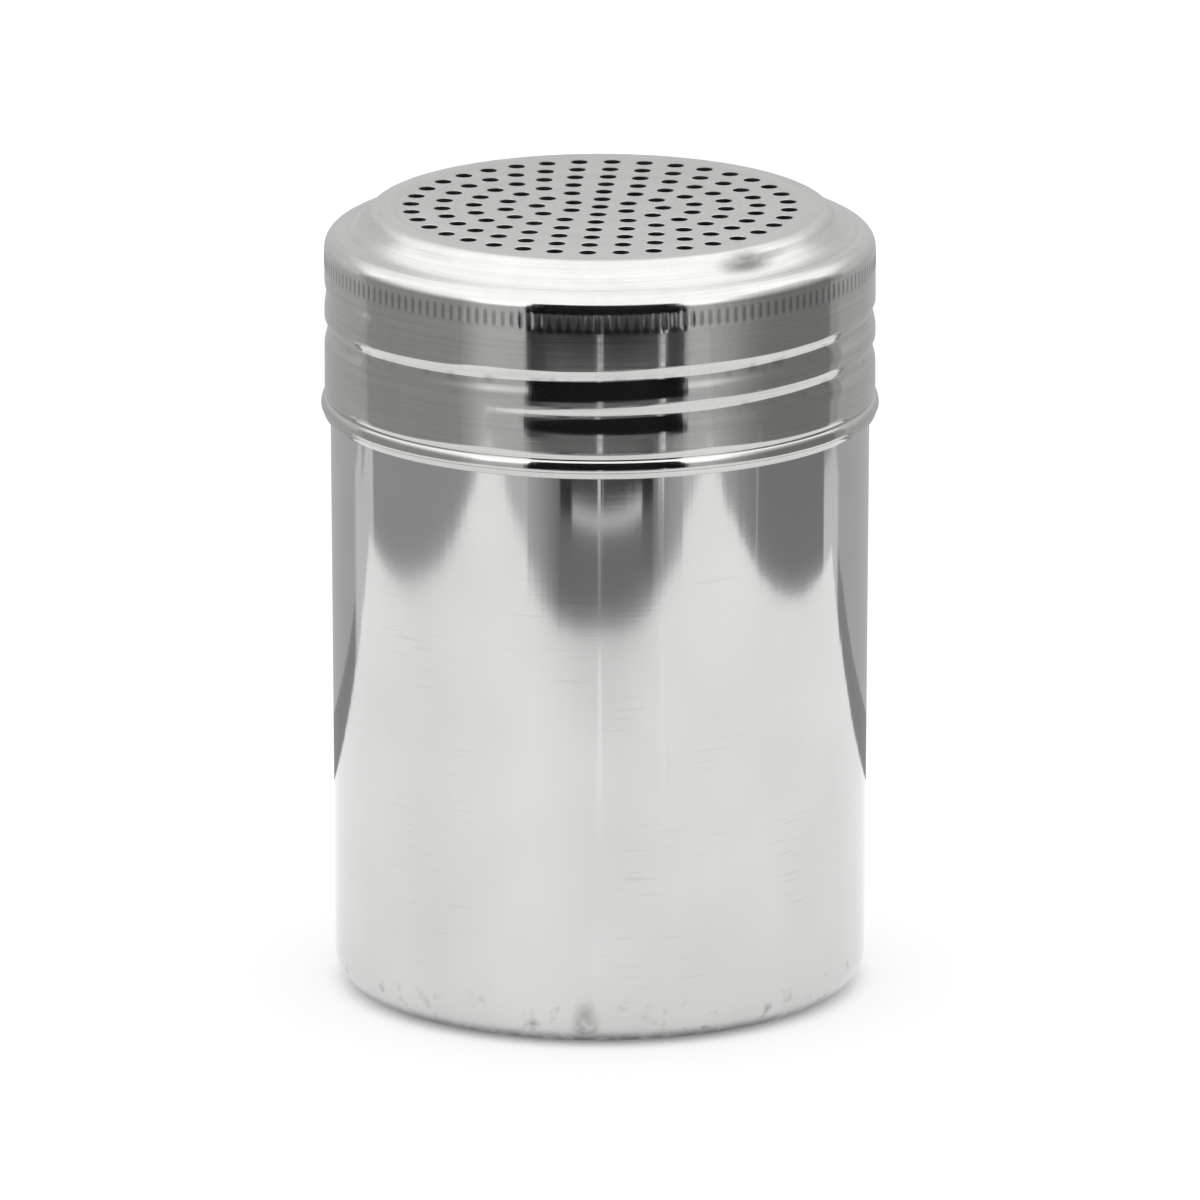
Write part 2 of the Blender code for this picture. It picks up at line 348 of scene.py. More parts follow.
class DredgerStage(bpy.types.PropertyGroup):
    """Camera, floor and light tent."""
    elevation: turn("Elevation", "Height of the camera above the horizon", 15)
    distance: length("Distance", "Distance of the camera from the dredger", 2500)
    view_width: length("View width", "Width of the view at the dredger", 151)
    aim_height: length("Aim height", "Height that the camera looks at", 49)
    floor_size: length("Floor size", "Width of the floor", 8000)
    floor_colour: colour("Floor", "Colour of the pale floor", "#9A9A9A")
    floor_glow: share("Floor glow", "Light that comes up through the floor", 0.57)
    sky: share("Sky", "Brightness of the white cloth overhead", 1.65)
    tent_left: length("Tent left", "Distance of the tent's left wall", 232)
    tent_right: length("Tent right", "Distance of the tent's right wall", 226)
    tent_front: length("Tent front", "Distance of the tent's front wall", 228)
    tent_back: length("Tent back", "Distance of the tent's back wall", 92)
    tent_height: length("Tent height", "Height of the tent's walls", 260)
    left_end: length("Left end", "How far the left wall reaches behind the dredger", 72)
    right_end: length("Right end", "How far the right wall reaches behind the dredger", 62)
    skirting: length("Skirting", "Height of the shaded foot of the back wall", 9)
    door_left: length("Door left", "Where the tent's door begins, left of the middle", 118)
    door_right: length("Door right", "Where the tent's door ends, right of the middle", 142)
    door_ajar: length("Door ajar", "How far the outer edges of the door's two leaves stand in", 11)
    door_dark: length("Door dark", "Height above which the door shows a dark room", 42)
    stand_left: length("Stand left", "Where a dark stand in the door begins, left of the middle", 60)
    stand_right: length("Stand right", "Where the dark stand ends, right of the middle", 84)
    stand_low: length("Stand low", "Height of the lower edge of the stand", 16.8)
    stand_high: length("Stand high", "Height of the upper edge of the stand", 25)
    stand_rim: length("Stand rim", "Width of the dark rim beside the pale middle of the stand", 20)
    middle_high: length("Middle high", "Height of the upper edge of the stand's pale middle", 19.6)
    slit_width: length("Slit width", "Width of the light between the door's curtains", 5)
    slit_low: length("Slit low", "Height of the lower end of the light between the curtains", 3.5)
    slit_high: length("Slit high", "Height of the upper end of the light between the curtains", 48)
    side_slit: length("Side slit", "Where a second slit is, right of the middle", 97)
    shade: share("Door shade", "Share of its light that the floor loses by the door", 0.3)
    shade_reach: length("Shade reach", "How far from the door the floor is dimmer", 110)
    base_shade: share("Base shade", "Share of its light that the floor loses under the base", 0.7)
    base_inside: length("Base inside", "Distance from the axis where the base's shade begins to fade", 28)
    base_reach: length("Base reach", "Distance from the axis where the base's shade ends", 35)
    seam: length("Seam", "Where the right wall's seam is, in front of the middle", 101)
    seam_width: length("Seam width", "Width of the right wall's seam", 3)
    seam_height: length("Seam height", "Height of the right wall's seam", 20)
    leak_reach: length("Leak reach", "How far the light of the slits runs along the floor", 150)
    wall_foot: length("Wall foot", "Height of the paler foot of the walls", 4)
    door_foot: length("Door foot", "Height of the paler foot of the door", 5)
    left_light: share("Left light", "Brightness of the left wall", 0.37)
    left_corner_light: share("Left corner light", "Brightness of the left wall's rear end", 0.47)
    right_light: share("Right light", "Brightness of the right wall", 0.25)
    right_corner_light: share("Right corner light", "Brightness of the right wall's rear end", 0.42)
    back_light: share("Back light", "Brightness of the back wall", 0.5)
    front_light: share("Front light", "Brightness of the front wall and of the seam", 0.6)
    skirting_light: share("Skirting light", "Brightness of the shaded foot of the back wall", 0.3)
    gap_light: share("Gap light", "Brightness of the gaps under the walls", 0.72)
    door_light: share("Door light", "Brightness of the door's leaves", 0.19)
    stand_light: share("Stand light", "Brightness of the dark stand", 0.02)
    middle_light: share("Middle light", "Brightness of the stand's pale middle", 1)
    pale_light: share("Pale light", "Brightness of the door beside the stand", 0.17)
    slit_light: share("Slit light", "Brightness of the first slit", 0.85)
    side_light: share("Side light", "Brightness of the second slit", 1.25)
    leak_light: share("Leak light", "Brightness of the slits' light on the floor", 1.16)


def linear(code):
    """Linear colour, with alpha, of an sRGB hex code."""
    values = [int(code[at:at + 2], 16) / 255 for at in (1, 3, 5)]
    return [v / 12.92 if v <= 0.04045 else ((v + 0.055) / 1.055) ** 2.4 for v in values] + [1]


def set_inputs(tree, node, inputs):
    """Give sockets of a node a value or another node's output."""
    for socket, value in inputs.items():
        if isinstance(value, bpy.types.NodeSocket):
            tree.links.new(value, node.inputs[socket])
        else:
            node.inputs[socket].default_value = value


def add_node(tree, kind, inputs=None, **settings):
    """A new node with its settings and inputs."""
    made = tree.nodes.new(kind)
    for name, value in settings.items():
        setattr(made, name, value)
    set_inputs(tree, made, inputs or {})
    return made


def new_material(name):
    """A new node material and its tree."""
    material = bpy.data.materials.new(name)
    material.use_nodes = True
    return material, material.node_tree


def arc(start, radius, slope_from, slope_to, steps):
    """Points after start on an arc between two slopes; a hollow arc has a negative radius."""
    points = []
    for step in range(1, steps + 1):
        slope = slope_from + (slope_to - slope_from) * step / steps
        out = start[0] + radius * (math.sin(slope) - math.sin(slope_from))
        up = start[1] + radius * (math.cos(slope) - math.cos(slope_from))
        points.append((out, up))
    return points


def straight(start, end, row):
    """Points after start on a straight line to end, no further apart than a row."""
    steps = math.ceil(math.dist(start, end) / row)
    return [(start[0] + (end[0] - start[0]) * step / steps, start[1] + (end[1] - start[1]) * step / steps)
            for step in range(1, steps + 1)]


def ease(start, end, steps):
    """Points after start on a smooth S that leaves and arrives along its longer direction."""
    points = []
    steep = abs(end[1] - start[1]) > abs(end[0] - start[0])
    for step in range(1, steps + 1):
        even = step / steps
        eased = (1 - math.cos(math.pi * even)) / 2
        out = start[0] + (end[0] - start[0]) * (eased if steep else even)
        up = start[1] + (end[1] - start[1]) * (even if steep else eased)
        points.append((out, up))
    return points


def spun(name, section, columns):
    """A new piece spun round the axis from its half section, which one point is pulled along."""
    bpy.ops.object.select_all(action="DESELECT")
    bpy.ops.mesh.primitive_plane_add(size=MM, location=(section[0][0], 0, section[0][1]))
    piece = bpy.context.active_object
    piece.name = name
    piece.data.name = name
    bpy.ops.object.transform_apply(location=True)
    bpy.ops.object.mode_set(mode="EDIT")
    bpy.ops.mesh.select_mode(type="VERT")
    bpy.ops.mesh.select_all(action="SELECT")
    bpy.ops.mesh.merge(type="CENTER")
    for (out, up), (next_out, next_up) in zip(section, section[1:]):
        bpy.ops.mesh.extrude_region_move(TRANSFORM_OT_translate={"value": (next_out - out, 0, next_up - up)})
    bpy.ops.object.mode_set(mode="OBJECT")
    turned = piece.modifiers.new("turned", "SCREW")
    turned.angle = math.tau
    turned.steps = columns
    turned.render_steps = columns
    turned.use_merge_vertices = True
    turned.merge_threshold = WELD
    bpy.ops.object.modifier_apply(modifier="turned")
    bpy.ops.object.mode_set(mode="EDIT")
    close_seams()
    bpy.ops.object.mode_set(mode="OBJECT")
    return piece


def select_only(*pieces):
    """Select pieces and nothing else, with the first one active."""
    bpy.ops.object.select_all(action="DESELECT")
    for piece in pieces:
        piece.select_set(True)
    bpy.context.view_layer.objects.active = pieces[0]


def close_seams():
    """Merge what meets in the mesh in edit mode, and point its faces outwards."""
    bpy.ops.mesh.select_all(action="SELECT")
    bpy.ops.mesh.remove_doubles(threshold=WELD)
    bpy.ops.mesh.normals_make_consistent(inside=False)


def press(piece, name, depth, weight):
    """Push a piece's faces along their normals by a depth times the weight of each place."""
    group = piece.vertex_groups.new(name=name)
    for vertex in piece.data.vertices:
        amount = weight(vertex.co)
        if amount > 0:
            group.add([vertex.index], amount, "REPLACE")
    push = piece.modifiers.new(name, "DISPLACE")
    push.vertex_group = name
    push.mid_level = 0
    push.strength = depth
    bpy.context.view_layer.objects.active = piece
    bpy.ops.object.modifier_apply(modifier=name)
    piece.vertex_groups.remove(piece.vertex_groups[name])


def on_wall(place, radius):
    """Whether a place lies on a straight wall with a radius."""
    return abs(math.hypot(place.x, place.y) - radius) <= TOUCH


def thread_weight(place, radius, thread, start_angle, start_height, turns, above, below):
    """How far a place on a wall lies in a right-hand thread: 1 on its line, 0 beyond its flanks."""
    if not on_wall(place, radius):
        return 0
    first = ((math.atan2(place.y, place.x) - start_angle) % math.tau) / math.tau
    deepest = 0
    for lap in range(math.ceil(turns) + 1):
        run = first + lap
        away = place.z - start_height - run * THREAD_PITCH
        flank = above if away > 0 else below
        if run < turns and abs(away) < flank:
            fade = min(1, run / thread.run_in, (turns - run) / thread.run_out)
            deepest = max(deepest, fade * math.cos(math.pi / 2 * away / flank) ** 2)
    return deepest


def ogee_rise(lid):
    """Height of the flat top above the upper end of the lid's straight wall."""
    edge = lid.edge_radius * (1 - math.cos(lid.ogee_slope))
    hollow = lid.hollow_radius * (math.cos(lid.ledge_slope) - math.cos(lid.ogee_slope))
    ledge = lid.ledge_width * math.tan(lid.ledge_slope)
    return edge + hollow + ledge + lid.shoulder_radius * math.cos(lid.ledge_slope)


def flat_radius(lid):
    """Radius of the flat top, worked inwards from the lid's wall across the ogee."""
    corner = lid.shoulder_radius * (1 - math.sin(lid.ledge_slope))
    hollow = lid.hollow_radius * (math.sin(lid.ogee_slope) - math.sin(lid.ledge_slope))
    return LID_RADIUS - corner - lid.ledge_width - hollow - lid.edge_radius * math.sin(lid.ogee_slope)


def shoulder(lid, depth, steps):
    """Half section of the top's border and of the ogee shoulder, at a depth in the sheet."""
    flat = flat_radius(lid)
    points = [(flat - lid.flat_border, TOP - depth), (flat, TOP - depth)]
    points += arc(points[-1], lid.edge_radius - depth, 0, lid.ogee_slope, steps)
    points += arc(points[-1], -lid.hollow_radius - depth, lid.ogee_slope, lid.ledge_slope, steps)
    out, up = points[-1]
    points.append((out + lid.ledge_width, up - lid.ledge_width * math.tan(lid.ledge_slope)))
    points += arc(points[-1], lid.shoulder_radius - depth, lid.ledge_slope, math.pi / 2, steps)
    return points


def hem(lid):
    """Half section of the hem: the crease above it, its flank and bead, and the lip that curls under."""
    flank_radius = lid.flank_height / math.cos(lid.flank_slope)
    flank_run = flank_radius * (1 - math.sin(lid.flank_slope))
    crease_out = LID_RADIUS - lid.crease_depth
    fold_radius = (HEM_RADIUS - flank_run - crease_out) / math.sin(lid.flank_slope)
    fold_drop = fold_radius * (1 - math.cos(lid.flank_slope))
    bead_drop = -lid.bead_radius * math.cos(lid.bead_end)
    crease_up = LID_FOOT + lid.curl_height + bead_drop + lid.flank_height + fold_drop
    points = [(LID_RADIUS, crease_up + lid.crease_height)]
    points += ease(points[0], (crease_out, crease_up), CREASE_STEPS)
    points += arc(points[-1], fold_radius, 0, lid.flank_slope, FOLD_STEPS)
    points += arc(points[-1], flank_radius, lid.flank_slope, math.pi / 2, FLANK_STEPS)
    points += arc(points[-1], lid.bead_radius, math.pi / 2, lid.bead_end, BEAD_STEPS)
    curl_in = HEM_RADIUS - lid.curl_inset - lid.curl_width
    for step in range(CURL_STEPS + 1):
        around = math.pi / 2 * step / CURL_STEPS
        out = curl_in + lid.curl_width * math.cos(around)
        up = LID_FOOT + lid.curl_height * (1 - math.sin(around))
        points.append((out, up))
    bore = LID_RADIUS - lid.sheet
    lip = (bore + lid.lip_radius, LID_FOOT)
    return points + [lip] + arc(lip, lid.lip_radius, math.pi, 3 * math.pi / 2, LIP_STEPS)


def lid_section(lid):
    """Closed half section of the lid but for its flat top: down the outside and up the inside."""
    outside = shoulder(lid, 0, SHOULDER_STEPS)
    foot = hem(lid)
    inside = list(reversed(shoulder(lid, lid.sheet, SHOULDER_INSIDE_STEPS)))
    wall = straight(outside[-1], foot[0], lid.wall_row)
    bore = straight(foot[-1], inside[0], lid.bore_row)
    return outside + wall + foot[1:] + bore + inside[1:]


def punched_collar(lid):
    """One sugar hole on the axis: its flat border, its rounded edge and its wall."""
    radius = lid.hole_diameter / 2
    edge = (radius + lid.hole_edge, TOP)
    section = [(edge[0] + lid.hole_border, TOP), edge]
    section += arc(edge, lid.hole_edge, 0, -math.pi / 2, HOLE_EDGE_STEPS)
    section.append((radius, TOP - lid.sheet))
    return spun("hole", section, lid.hole_sides)


def hole_places(lid):
    """Where the sugar holes are: one on the axis, then rings that each gain a step of holes."""
    places = [(0, 0)]
    for ring in range(1, lid.hole_rings + 1):
        holes = lid.hole_step * ring
        for hole in range(holes):
            angle = lid.hole_angle + math.tau * hole / holes
            places.append((ring * lid.hole_pitch * math.cos(angle), ring * lid.hole_pitch * math.sin(angle)))
    return places


def fill_between_loops(mesh, height):
    """Fill the flat sheet between all the open loops that lie at a height."""
    shape = bmesh.from_edit_mesh(mesh)
    bpy.ops.mesh.select_mode(type="EDGE")
    bpy.ops.mesh.select_all(action="DESELECT")
    for edge in shape.edges:
        level = all(abs(corner.co.z - height) < TOUCH for corner in edge.verts)
        if level and edge.is_boundary:
            edge.select_set(True)
    shape.select_flush_mode()
    bmesh.update_edit_mesh(mesh)
    bpy.ops.mesh.fill(use_beauty=True)


def perforate(piece, lid):
    """Join the punched holes to the lid and fill the flat top and its underside between them."""
    collar = punched_collar(lid)
    collars = []
    for x, y in hole_places(lid):
        copy = collar.copy()
        copy.data = collar.data.copy()
        copy.location = (x, y, 0)
        bpy.context.collection.objects.link(copy)
        collars.append(copy)
    bpy.data.objects.remove(collar)
    select_only(piece, *collars)
    bpy.ops.object.join()
    bpy.ops.object.mode_set(mode="EDIT")
    fill_between_loops(piece.data, TOP)
    fill_between_loops(piece.data, TOP - lid.sheet)
    close_seams()
    bpy.ops.object.mode_set(mode="OBJECT")


def knurl_weight(place, lid, wall_top, side):
    """How far a place of the wall lies in a rib of the knurled band, or for side -1 in a valley."""
    if not on_wall(place, LID_RADIUS):
        return 0
    below = wall_top - place.z
    fade = min(1, below / lid.rib_fade, (lid.rib_height - below) / lid.rib_fade)
    if fade <= 0:
        return 0
    return fade * side * math.cos(lid.ribs * math.atan2(place.y, place.x))


def finish_piece(piece, material, body, nodes):
    """Smooth a finished piece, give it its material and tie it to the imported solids."""
    select_only(piece)
    bpy.ops.object.shade_smooth_by_angle(angle=SMOOTH_ANGLE)
    piece.data.materials.clear()
    piece.data.materials.append(material)
    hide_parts(*nodes)
    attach(piece, body)


def foot_ring(cup):
    """Inner and outer radius of the flat ring that the cup stands on."""
    outside = CUP_RADIUS - cup.wall_taper - cup.corner_radius
    return outside - cup.foot_width, outside


def cup_section(cup, neck_radius):
    """Half section of the cup, from the axis under its base to its rim and back down inside."""
    base_radius = CUP_RADIUS - cup.wall_taper
    step_up = LID_FOOT + cup.step_top
    foot_in, foot_out = foot_ring(cup)
    outside = [(0, cup.recess), (foot_in - cup.recess_run, cup.recess)]
    outside += ease(outside[-1], (foot_in, 0), RECESS_STEPS)
    outside.append((foot_out, 0))
    outside += arc(outside[-1], cup.corner_radius, math.pi, math.pi / 2, CORNER_STEPS)
    outside += straight(outside[-1], (CUP_RADIUS, step_up - cup.step_height), cup.wall_row)
    outside += ease(outside[-1], (neck_radius, step_up), NECK_STEPS)
    lip = cup.sheet / 2
    outside += straight(outside[-1], (neck_radius, RIM - lip), cup.neck_row)
    outside += arc(outside[-1], lip, math.pi / 2, -math.pi / 2, RIM_STEPS)
    inside = straight(outside[-1], (neck_radius - cup.sheet, step_up), cup.neck_row)
    step_foot = (CUP_RADIUS - cup.sheet, step_up - cup.step_height)
    inside += ease(inside[-1], step_foot, NECK_INSIDE_STEPS)
    inside.append((base_radius - cup.sheet, cup.corner_radius))
    inside += arc(inside[-1], cup.corner_radius - cup.sheet, math.pi / 2, math.pi, CORNER_INSIDE_STEPS)
    inside.append((foot_in, cup.sheet))
    floor_up = cup.recess + cup.sheet
    inside += ease(inside[-1], (foot_in - cup.recess_run, floor_up), RECESS_INSIDE_STEPS)
    return outside + inside + [(0, floor_up)]


def surface(tree):
    """A place on a piece, its distance from the axis and its height."""
    place = add_node(tree, "ShaderNodeTexCoord").outputs["Object"]
    flat = add_node(tree, "ShaderNodeMapping", {"Vector": place, "Scale": (1, 1, 0)}).outputs["Vector"]
    radius = add_node(tree, "ShaderNodeVectorMath", {0: flat}, operation="LENGTH").outputs["Value"]
    height = add_node(tree, "ShaderNodeSeparateXYZ", {"Vector": place}).outputs["Z"]
    return place, radius, height


def soft_zone(tree, strength, *ramps):
    """A strength that changes softly along every ramp.

    A ramp is a value, where on it the change starts and ends, and the shares of the strength there,
    which are 0 and 1 where a ramp has none.
    """
    for value, start, end, *shares in ramps:
        first, last = shares or (0, 1)
        ramp = add_node(tree, "ShaderNodeMapRange", {
            "Value": value, "From Min": start, "From Max": end, "To Min": first, "To Max": last},
            interpolation_type="SMOOTHSTEP")
        strength = add_node(tree, "ShaderNodeMath", {0: ramp.outputs["Result"], 1: strength},
                            operation="MULTIPLY").outputs["Value"]
    return strength


def coated(tree, code, *coats):
    """The colour of a hex code under coats, each with its share of a place and its own hex code."""
    tint = linear(code)
    for amount, coat in coats:
        tint = add_node(tree, "ShaderNodeMix", {"Factor": amount, "A": tint, "B": linear(coat)},
                        data_type="RGBA").outputs["Result"]
    return tint


def roughened(tree, roughness, *coats):
    """A roughness under coats, each with its share of a place and the roughness that it adds."""
    for amount, added in coats:
        roughness = add_node(tree, "ShaderNodeMath", {0: amount, 1: added, 2: roughness},
                             operation="MULTIPLY_ADD").outputs["Value"]
    return roughness


def steel_marks(tree, steel, ring_depth, tinting, mottle):
    """The marks that drawing, polishing and handling leave in sheet steel.

    Gives the normal that they bend, and a share that says how dull a place is, which follows
    smears and the one mark named by tinting. A wheel's real rings are too fine to show, so they are
    drawn as coarse as they need to be.
    """
    place, radius, height = surface(tree)
    section = add_node(tree, "ShaderNodeCombineXYZ", {"X": radius, "Z": height}).outputs["Vector"]
    broken = add_node(tree, "ShaderNodeVectorMath", {
        0: place, 1: (RING_STRETCH, RING_STRETCH, 0), 2: section}, operation="MULTIPLY_ADD").outputs["Vector"]
    drawn = add_node(tree, "ShaderNodeMapping", {
        "Vector": place, "Scale": (1, 1, DRAWN_STRETCH)}).outputs["Vector"]
    wiped = add_node(tree, "ShaderNodeMapping", {
        "Vector": place, "Scale": (1, 1, WIPE_STRETCH)}).outputs["Vector"]
    # Name, the place that its noise reads, and the noise's size, depth and detail
    marks = (
        ("waves", place, steel.wave_size, steel.wave_depth, WAVE_DETAIL),
        ("streaks", drawn, steel.streak_pitch, steel.streak_depth, STREAK_DETAIL),
        ("rings", broken, steel.ring_pitch, ring_depth, RING_DETAIL),
    )
    reliefs = {}
    normal = None
    for name, vector, size, depth, detail in marks:
        relief = add_node(tree, "ShaderNodeTexNoise", {"Vector": vector, "Scale": 1 / size, "Detail": detail})
        reliefs[name] = relief.outputs["Fac"]
        bump = add_node(tree, "ShaderNodeBump", {"Height": reliefs[name], "Distance": depth})
        if normal:
            set_inputs(tree, bump, {"Normal": normal})
        normal = bump.outputs["Normal"]
    smears = add_node(tree, "ShaderNodeTexNoise", {
        "Vector": wiped, "Scale": 1 / steel.smear_size, "Detail": SMEAR_DETAIL,
        "Roughness": mottle}).outputs["Fac"]
    worn = add_node(tree, "ShaderNodeMath", {0: smears, 1: reliefs[tinting]}, operation="ADD")
    dull = add_node(tree, "ShaderNodeMapRange", {
        "Value": worn.outputs["Value"], "From Min": DULL[0], "From Max": DULL[1]}).outputs["Result"]
    return normal, dull


def hairlines(tree, steel):
    """Share of the scratches that cloths have rubbed round the wall, in loose patches.

    Real ones are too fine to show, so they are drawn as coarse as they need to be.
    """
    place = add_node(tree, "ShaderNodeTexCoord").outputs["Object"]
    lying = add_node(tree, "ShaderNodeMapping", {
        "Vector": place, "Scale": (HAIR_STRETCH, HAIR_STRETCH, 1)}).outputs["Vector"]
    hairs = add_node(tree, "ShaderNodeTexNoise", {
        "Vector": lying, "Scale": 1 / steel.hair_pitch, "Detail": HAIR_DETAIL}).outputs["Fac"]
    patches = add_node(tree, "ShaderNodeTexNoise", {
        "Vector": place, "Scale": 1 / steel.smear_size, "Detail": PATCH_DETAIL}).outputs["Fac"]
    return soft_zone(tree, steel.hairs, (hairs, *HAIRS), (patches, *RUBBED_PATCHES))


def oval(tree, middle, turned, size):
    """A place as seen from the middle of an oval, whose edge is at 1, and its distance from there."""
    place = add_node(tree, "ShaderNodeTexCoord").outputs["Object"]
    seen = add_node(tree, "ShaderNodeMapping", {
        "Vector": place, "Location": middle, "Rotation": turned, "Scale": size}, vector_type="TEXTURE")
    away = add_node(tree, "ShaderNodeVectorMath", {0: seen.outputs["Vector"]}, operation="LENGTH")
    return seen.outputs["Vector"], away.outputs["Value"]


def foot_scuffs_and_shadow(tree, steel, foot_inside):
    """Share of scuffing and painted contact shadow: a scuffed line where the cup stands, and specks and a
    darker patch up the wall.
    """
    place, radius, height = surface(tree)
    grain = add_node(tree, "ShaderNodeTexNoise", {
        "Vector": place, "Scale": 1 / steel.speck_size, "Detail": GRAIN_DETAIL}).outputs["Fac"]
    touching = (radius, foot_inside, foot_inside + SOFT_EDGE)
    away = oval(tree, FOOT_PATCH, (0, 0, 0), (steel.foot_patch_width, steel.foot_patch_height, steel.foot_patch_height))[1]
    # The scuffed line round the foot is partly painted contact shadow
    scuffs_and_shadow = soft_zone(tree, 1, touching, (height, steel.scuff_and_shadow_height, 0), (grain, *SCUFFED))
    specks = soft_zone(tree, 1, touching, (height, steel.speck_height, 0), (grain, *SPECKLED))
    patch = soft_zone(tree, steel.foot_patch, touching, (away, *SMUDGE), (grain, *SCUFFED))
    for more in (specks, patch):
        scuffs_and_shadow = add_node(tree, "ShaderNodeMath", {0: scuffs_and_shadow, 1: more}, operation="MAXIMUM").outputs["Value"]
    return scuffs_and_shadow


def cup_steel(steel, cup):
    """Stainless steel, deep drawn and then polished bright.

    It mirrors its surroundings. Drawing marks down the wall wave the picture sideways, faint rings
    of the polishing wheel blur it up and down, and cloths have rubbed hairlines into it in patches.
    The edge it stands on is scuffed grey and darkened with painted contact shadow, and one patch above it is
    a darker grey.
    """
    material, tree = new_material("polished_cup_steel")
    normal, dull = steel_marks(tree, steel, steel.cup_ring_depth, "waves", steel.cup_mottle)
    # Scuffed foot line with painted contact shadow, specks and a darker patch
    scuffs_and_shadow = foot_scuffs_and_shadow(tree, steel, foot_ring(cup)[0])
    tint = coated(tree, steel.cup_colour, (dull, steel.cup_dull),
                  (hairlines(tree, steel), steel.grime_and_shade_colour), (scuffs_and_shadow, steel.scuff_and_shadow_colour))
    rough = roughened(tree, steel.cup_polish, (dull, steel.smear))
    set_inputs(tree, tree.nodes["Principled BSDF"], {
        "Base Color": tint, "Roughness": rough, "Normal": normal, "Metallic": 1})
    return material


def knurl_marks(tree, steel, lid, wall_top):
    """Shares of the knurled band and of the darkening between its ribs, partly dirt and partly painted shade.
    """
    place = add_node(tree, "ShaderNodeTexCoord").outputs["Object"]
    axes = add_node(tree, "ShaderNodeSeparateXYZ", {"Vector": place}).outputs
    around = add_node(tree, "ShaderNodeMath", {0: axes["Y"], 1: axes["X"]}, operation="ARCTAN2")
    turned = add_node(tree, "ShaderNodeMath", {0: around.outputs["Value"], 1: lid.ribs}, operation="MULTIPLY")
    ripple = add_node(tree, "ShaderNodeMath", {0: turned.outputs["Value"]}, operation="COSINE")
    foot = wall_top - lid.rib_height
    upper = (axes["Z"], wall_top, wall_top - lid.rib_fade)
    lower = (axes["Z"], foot, foot + lid.rib_fade)
    band = soft_zone(tree, 1, upper, lower)
    return band, soft_zone(tree, steel.grime, upper, lower, (ripple.outputs["Value"], *VALLEYS))


def groove_grime(tree, steel, depth, knurl_foot):
    """Share of the grime that handling leaves in specks along the root of the screw groove."""
    place, radius, height = surface(tree)
    grain = add_node(tree, "ShaderNodeTexNoise", {
        "Vector": place, "Scale": 1 / steel.speck_size, "Detail": GRAIN_DETAIL}).outputs["Fac"]
    return soft_zone(tree, steel.groove_grime, (radius, LID_RADIUS - depth / 2, LID_RADIUS - depth),
                     (height, knurl_foot, knurl_foot - SOFT_EDGE), (grain, *GRIMY))


def thumb_mark(tree, steel):
    """Share of the smudge that a thumb has left on the shoulder, broken by the skin's lines."""
    seen, away = oval(tree, THUMB, THUMB_TURN, (steel.thumb_length, steel.thumb_width, steel.thumb_width))
    lines = add_node(tree, "ShaderNodeTexNoise", {
        "Vector": seen, "Scale": steel.thumb_width / steel.speck_size, "Detail": SKIN_DETAIL}).outputs["Fac"]
    return soft_zone(tree, steel.thumb, (away, *SMUDGE), (lines, *SKIN_LINES))


def lid_steel(steel, lid, thread, wall_top):
    """Stainless steel, spun and polished by hand on a lathe, with its top left satin.

    The wall mirrors its surroundings through fine rings, and hands have dulled it more than the
    cup. From the shoulder up it turns to a soft satin, with the smudge of a thumb. Between the
    knurled ribs it is darker, partly dirt and partly painted shade, and dirt lies in specks along the groove.
    """
    material, tree = new_material("polished_lid_steel")
    normal, dull = steel_marks(tree, steel, steel.lid_ring_depth, "rings", steel.lid_mottle)
    band, grime = knurl_marks(tree, steel, lid, wall_top)
    specks = groove_grime(tree, steel, thread.groove_depth, wall_top - lid.rib_height)
    # Between the knurled ribs the tint is partly dirt and partly painted shade
    tint = coated(tree, steel.lid_colour, (dull, steel.lid_dull), (grime, steel.grime_and_shade_colour),
                  (thumb_mark(tree, steel), steel.grime_and_shade_colour), (specks, steel.scuff_and_shadow_colour))
    place = add_node(tree, "ShaderNodeTexCoord").outputs["Object"]
    height = add_node(tree, "ShaderNodeSeparateXYZ", {"Vector": place}).outputs["Z"]
    satin = add_node(tree, "ShaderNodeMapRange", {
        "Value": height, "From Min": wall_top, "From Max": TOP, "To Min": steel.lid_polish,
        "To Max": steel.lid_polish + steel.satin}).outputs["Result"]
    rough = roughened(tree, satin, (dull, steel.smear), (band, steel.knurl))
    set_inputs(tree, tree.nodes["Principled BSDF"], {
        "Base Color": tint, "Roughness": rough, "Normal": normal, "Metallic": 1})
    return material


def plain_steel(name, code, worn_code, steel, roughness):
    """Stainless steel that no wheel has polished: one roughness, and a tint that varies."""
    material, tree = new_material(name)
    normal, dull = steel_marks(tree, steel, steel.lid_ring_depth, "streaks", steel.cup_mottle)
    tint = coated(tree, code, (dull, worn_code))
    set_inputs(tree, tree.nodes["Principled BSDF"], {
        "Base Color": tint, "Roughness": roughness, "Normal": normal, "Metallic": 1})
    return material


def inside_steel(steel):
    """Stainless steel as the press leaves it: grey and dull, with marks down the wall; its grey is partly
    painted shade, kept dark so the inside reads dark through the sugar holes.
    """
    return plain_steel("drawn_inside_steel_shaded", steel.inside_grey_and_shade, steel.inside_dull, steel, steel.inside)


def shaded_cut_steel(steel):
    """Stainless steel torn by a punch: a rough wall, its colour painted near black as the shade inside the
    sugar holes.
    """
    return plain_steel("punched_steel_edge_shaded", steel.cut_shade_colour, steel.cut_worn_in_shade, steel, steel.cut)


def outwards(face):
    """How much a face looks away from the axis: 1 straight out, -1 straight in."""
    reach = math.hypot(face.center.x, face.center.y)
    if reach == 0:
        return 0
    return (face.normal.x * face.center.x + face.normal.y * face.center.y) / reach


def give_finish(piece, material, chosen):
    """Give one more material to the faces that a test chooses."""
    piece.data.materials.append(material)
    slot = len(piece.data.materials) - 1
    for face in piece.data.polygons:
        if chosen(face):
            face.material_index = slot


